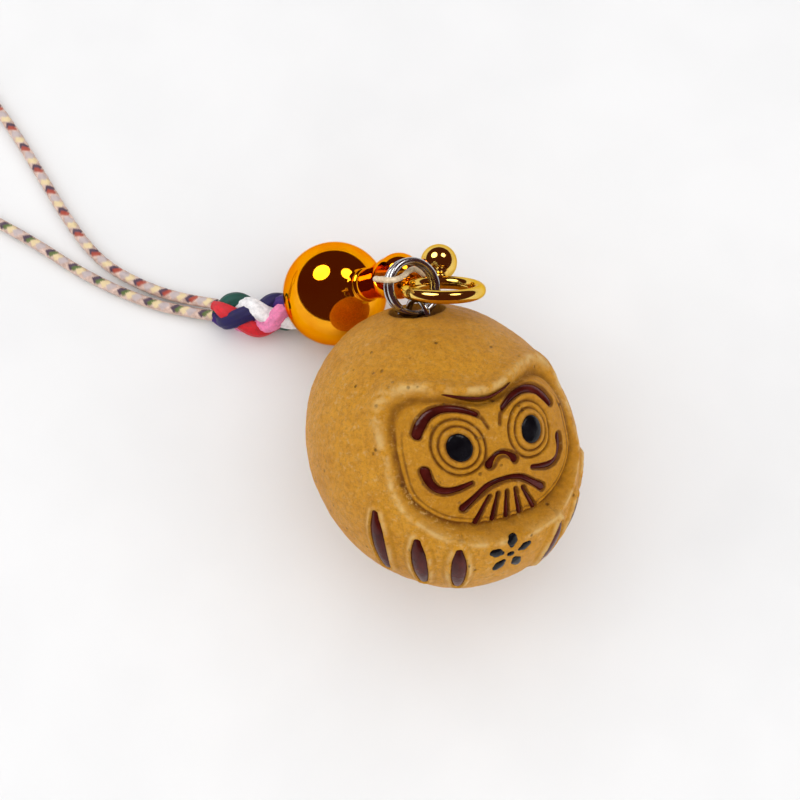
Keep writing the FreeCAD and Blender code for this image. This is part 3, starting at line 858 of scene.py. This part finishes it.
def charm():
    """Gilt ring and the ball on its collar."""
    path = circle_path(CHARM_CENTRE, CHARM_AXIS, CHARM_RADIUS, 160)
    verts, faces = tube_mesh(path, lambda i, a: CHARM_WIRE * MM, 40, closed=True)
    ring = make_object("gilt_ring", verts, faces, "charm", GILT)
    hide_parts("charm_ring")
    toward = BALL_CENTRE - CHARM_CENTRE
    toward = toward - CHARM_AXIS * toward.dot(CHARM_AXIS)
    foot = CHARM_CENTRE + toward.normalized() * CHARM_RADIUS
    axis = (BALL_CENTRE - foot).normalized()
    profile = [(BALL_RADIUS * math.sin(t), -BALL_RADIUS * math.cos(t))
               for t in np.linspace(0.02, math.pi - 0.02, 72)]
    lathe("gilt_ball", profile, BALL_CENTRE, axis, "charm", GILT, "charm_ball")
    reach = (BALL_CENTRE - foot).length
    collar = [(0.02, 0.2), (0.62, 0.2), (0.74, 0.45), (0.66, 0.7), (0.6, 0.85), (0.7, 1.0),
              (0.78, reach - 1.5), (0.02, reach - 1.5)]
    rows = [tuple(r) for r in spline(collar, 60)]
    lathe("gilt_collar", rows, foot, axis, "charm", GILT, "charm_collar")


def lathe(name, profile, centre, axis, body, material, node=None, sides=96):
    """A turned shape: profile rows are radius and height, millimetres."""
    axis = axis.normalized()
    u = axis.orthogonal().normalized()
    v = axis.cross(u)
    verts, faces = [], []
    for radius, height in profile:
        for j in range(sides):
            angle = 2 * math.pi * j / sides
            spot = centre + axis * height + (u * math.cos(angle) + v * math.sin(angle)) * radius
            verts.append(spot * MM)
    for i in range(len(profile) - 1):
        for j in range(sides):
            k = (j + 1) % sides
            faces.append((i * sides + j, i * sides + k, (i + 1) * sides + k, (i + 1) * sides + j))
    faces.append(tuple(range(sides))[::-1])
    faces.append(tuple((len(profile) - 1) * sides + j for j in range(sides)))
    obj = make_object(name, verts, faces, body, material)
    if node:
        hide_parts(node)
    return obj


# ---- gourd bead ----------------------------------------------------------------------
def cutter(start, direction, radius, length, flare=0.0):
    """A closed drill shape, its mouth flared, for cutting holes. Millimetres."""
    u = direction.orthogonal().normalized()
    v = direction.cross(u)
    rows = [(radius, 0), (radius, length - flare), (radius + flare * 1.0, length)]
    verts = []
    sides = 96
    for r, h in rows:
        for j in range(sides):
            angle = 2 * math.pi * j / sides
            verts.append((start + direction * h + (u * math.cos(angle) + v * math.sin(angle)) * r) * MM)
    faces = [tuple(range(sides))[::-1], tuple(2 * sides + j for j in range(sides))]
    for i in range(2):
        for j in range(sides):
            k = (j + 1) % sides
            faces.append((i * sides + j, i * sides + k, (i + 1) * sides + k, (i + 1) * sides + j))
    mesh = bpy.data.meshes.new("cutter")
    mesh.from_pydata([tuple(p) for p in verts], [], faces)
    obj = bpy.data.objects.new("cutter", mesh)
    bpy.context.scene.collection.objects.link(obj)
    return obj


def cut_away(obj, cutters):
    for tool in cutters:
        modifier = obj.modifiers.new("cut", "BOOLEAN")
        modifier.object = tool
        modifier.operation = "DIFFERENCE"
        modifier.solver = "EXACT"
    mesh = bpy.data.meshes.new_from_object(obj.evaluated_get(bpy.context.evaluated_depsgraph_get()))
    obj.modifiers.clear()
    obj.data = mesh
    for tool in cutters:
        bpy.data.objects.remove(tool)


def gourd():
    """Plated bead: ball, collared neck and bulb, drilled across and down to its hollow."""
    span = (TIP_CENTRE - GOURD_CENTRE).length
    axis = (TIP_CENTRE - GOURD_CENTRE).normalized()
    foot = 4.8
    rows = [(GOURD_BALL * math.sin(t), -GOURD_BALL * math.cos(t)) for t in np.linspace(0.02, 2.805, 90)]
    neck = [(1.6, foot + 0.12), (1.45, foot + 0.45), (1.63, foot + 0.75), (1.63, foot + 0.95),
            (1.44, foot + 1.3), (1.5, foot + 2.2), (1.68, foot + 3.4), (1.94, foot + 4.6), (2.1, span - 0.45)]
    rows += [tuple(r) for r in spline(neck, 90)]
    rows += [(GOURD_TIP * math.sin(t), span - GOURD_TIP * math.cos(t))
             for t in np.linspace(1.45, math.pi - 0.02, 48)]
    shell = lathe("gourd_bead", rows, GOURD_CENTRE, axis, "gourd", ORANGE,
                  "gourd_shell", 160)
    hollow = bpy.data.meshes.new("hollow")
    bm = bmesh.new()
    bmesh.ops.create_uvsphere(bm, u_segments=64, v_segments=32, radius=GOURD_INSIDE * MM)
    bm.to_mesh(hollow)
    bm.free()
    inner = bpy.data.objects.new("hollow", hollow)
    inner.location = GOURD_CENTRE * MM
    bpy.context.scene.collection.objects.link(inner)
    exit_axis = (Vector(BRAID_ROUTE[1]) - Vector(BRAID_ROUTE[0])).normalized()
    tools = [inner, cutter(GOURD_CENTRE, exit_axis, CORD_HOLE, 7)]
    for side in (-1, 1):
        tools.append(cutter(TIP_CENTRE - CROSS_AXIS * side * 0.4, CROSS_AXIS * side, CROSS_HOLE, 3.0, 0.75))
    bpy.context.view_layer.update()
    cut_away(shell, tools)
    for polygon in shell.data.polygons:
        polygon.use_smooth = True
    shell.data.set_sharp_from_angle(angle=math.radians(32))


# ---- cords ---------------------------------------------------------------------------
def woven_radius(radius, strands, relief, pitch, step):
    """Radius of a fine round braid: strands cross both ways round it."""
    def at(i, angle):
        along = i * step / pitch * 2 * math.pi
        a = math.cos((angle * strands / 2) + along)
        b = math.cos((angle * strands / 2) - along)
        return radius * (1 - relief + relief * max(a, b))
    return at


def strap():
    """The strap's loop of fine braided cord with coloured flecks."""
    path = nurbs_points(STRAP_ROUTE, 16)
    step = 0.00012
    centres = even(path, step)
    sides = 24
    verts, faces = tube_mesh(centres, woven_radius(STRAP_RADIUS, 8, 0.09, 0.0011, step), sides)
    cord = make_object("strap_braid", verts, faces, "gourd", STRAP)
    along = np.repeat(np.arange(len(centres)) * step, sides)
    outer = np.array(verts) - np.repeat(np.array(centres), sides, axis=0)
    ahead = np.gradient(np.array(centres), axis=0)
    across = np.repeat(np.stack([ahead[:, 1], -ahead[:, 0]], axis=1), sides, axis=0)
    across /= np.linalg.norm(across, axis=1, keepdims=True)
    around = np.arctan2((outer[:, :2] * across).sum(axis=1), outer[:, 2])
    pitch = along / FLECK_PITCH * 2 * math.pi
    outward = smooth_step(0.062, 0.056, along)
    share = (1, outward, 1 - outward, 1, 1)
    for i, (lag, low) in enumerate(FLECK_PLACES):
        spot = smooth_step(-0.1, 0.35, np.cos(pitch - lag - around))
        weight = smooth_step(low, low + 0.14, np.cos(pitch - lag + around)) * spot * share[i]
        set_attribute(cord, "fleck_%d" % i, weight)
    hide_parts("strap_cord")


def link():
    """The thin cream cord that ties the bead to the split ring."""
    step = 0.00008
    centres = even(nurbs_points(LINK_ROUTE, 16, cyclic=True), step, closed=True)
    verts, faces = tube_mesh(centres, woven_radius(LINK_RADIUS, 6, 0.1, 0.0008, step), 20, closed=True)
    cord = make_object("link_braid", verts, faces, "gourd", CREAM)
    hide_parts("link_cord")


def fluted_radius(sizes, i, angle):
    """Radius of one soft strand, with the faint flutes of its yarns."""
    return sizes[i] * (0.955 + 0.045 * math.cos(9 * angle + i * 0.1))


def stopper():
    """Short fat plait of coloured strands that weave over and under each other."""
    order = ["teal", "white", "pink", "purple", "navy", "red"]
    path = even(nurbs_points(BRAID_ROUTE, 24), 0.0001)
    count = len(path)
    tangent = [(path[min(i + 1, count - 1)] - path[max(i - 1, 0)]).normalized() for i in range(count)]
    side = tangent[0].orthogonal().normalized()
    frames = []
    for t in tangent:
        side = (side - t * side.dot(t)).normalized()
        frames.append((side, t.cross(side)))
    for s, colour in enumerate(order):
        way = 1 if s % 2 else -1
        centres = []
        sizes = []
        for i, (place, (u, v)) in enumerate(zip(path, frames)):
            t = i / (count - 1)
            taper = 0.82 + 0.18 * float(smooth_step(0.0, 0.25, t))
            taper *= 1 - 0.45 * float(smooth_step(0.82, 1.0, t))
            start = (s // 2) * math.pi * 2 / 3 + (0 if way > 0 else math.pi / 3)
            angle = way * t * 2 * math.pi * BRAID_TURNS + start
            over = way * math.sin(3 * t * 2 * math.pi * BRAID_TURNS)
            orbit = (0.00098 + 0.00026 * over) * taper
            centres.append(place + (u * math.cos(angle) + v * math.sin(angle)) * orbit)
            sizes.append(0.00092 * taper)
        verts, faces = tube_mesh(centres, partial(fluted_radius, sizes), 36)
        verts = [(v.x, v.y, max(v.z, 0.00003)) for v in verts]
        material = thread("braid_" + colour, shades(BRAID_COLOURS[colour], 0.2))
        make_object("braid_strand_" + str(s), verts, faces, "gourd", material)
    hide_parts("stopper_braid")


# ---- the room ------------------------------------------------------------------------
def floor():
    mesh = bpy.data.meshes.new("floor")
    half = 1.2
    corners = [(-half, -half, 0), (half, -half, 0), (half, half, 0), (-half, half, 0)]
    mesh.from_pydata(corners, [], [(0, 1, 2, 3)])
    plane = bpy.data.objects.new("floor", mesh)
    plane.location = (0, 0, -0.00002)
    bpy.context.scene.collection.objects.link(plane)
    n = Nodes("paper")
    tone = n.ramp(n.noise(60, 2), [(0.4, (0.79, 0.81, 0.81)), (0.6, (0.81, 0.83, 0.83))])
    mesh.materials.append(n.set(Base_Color=tone, Roughness=0.7))


def lamp(name, place, size, power, target, glossy=True, diffuse=True, colour=(1, 1, 1)):
    light = bpy.data.lights.new(name, "AREA")
    light.shape = "DISK"
    light.size = size
    light.energy = power
    light.color = colour
    obj = bpy.data.objects.new(name, light)
    obj.location = place
    obj.rotation_euler = (Vector(target) - Vector(place)).to_track_quat("-Z", "Y").to_euler()
    obj.visible_glossy = glossy
    obj.visible_diffuse = diffuse
    bpy.context.scene.collection.objects.link(obj)


def lights():
    world = bpy.data.worlds.new("room")
    world.use_nodes = True
    background = world.node_tree.nodes["Background"]
    nodes = world.node_tree.nodes
    links = world.node_tree.links
    coords = nodes.new("ShaderNodeTexCoord")
    split = nodes.new("ShaderNodeSeparateXYZ")
    ramp = nodes.new("ShaderNodeValToRGB")
    low, high = ramp.color_ramp.elements
    low.position = 0.0
    low.color = (1.2, 1.25, 1.3, 1)
    high.position = 0.07
    high.color = (0.07, 0.021, 0.019, 1)
    links.new(coords.outputs["Generated"], split.inputs["Vector"])
    links.new(split.outputs["Z"], ramp.inputs["Fac"])
    links.new(ramp.outputs["Color"], background.inputs["Color"])
    bpy.context.scene.world = world
    bpy.context.scene.view_settings.view_transform = "Standard"
    lamp("ceiling", (0.0, 0.1, 0.75), 2.4, 17.2, (0, 0, 0), glossy=False, colour=(0.97, 0.99, 1.0))
    lamp("fill_front", (0.1, -0.5, 0.16), 0.5, 0.9, (0, 0, 0), glossy=False)
    lamp("fill_right", (0.5, -0.2, 0.16), 0.5, 1.2, (0, 0, 0), glossy=False)
    lamp("fill_left", (-0.5, 0.0, 0.16), 0.5, 1.2, (0, 0, 0), glossy=False)
    lamp("window_left", (-0.2, 0.2, 0.36), 0.27, 0.9, (0, 0, 0), diffuse=False)
    lamp("window_right", (0.2, 0.2, 0.4), 0.2, 0.45, (0, 0, 0), diffuse=False)


def camera():
    """Looks down at seventy degrees, with the doll a little right of and below the middle."""
    data = bpy.data.cameras.new("camera")
    data.sensor_width = 36
    data.lens = 74.45
    data.clip_start = 0.01
    obj = bpy.data.objects.new("camera", data)
    tilt = math.radians(20)
    right = Vector((1, 0, 0))
    up = Vector((0, math.cos(tilt), math.sin(tilt)))
    back = Vector((0, -math.sin(tilt), math.cos(tilt)))
    obj.location = (DOLL_CENTRE - right * 3.81 + up * 3.9 + back * 150) * MM
    obj.rotation_euler = (tilt, 0, 0)
    bpy.context.scene.collection.objects.link(obj)
    bpy.context.scene.camera = obj


def carried_over():
    """CAD pieces that stay get their own material."""
    for node in ("retaining_knot",):
        obj = bpy.data.objects[node]
        obj.data.materials.clear()
        obj.data.materials.append(CREAM)


sculpt_body()
enamel_strokes()
pupils()
split_ring()
screw_eye()
charm()
gourd()
strap()
link()
stopper()
carried_over()
floor()
lights()
camera()
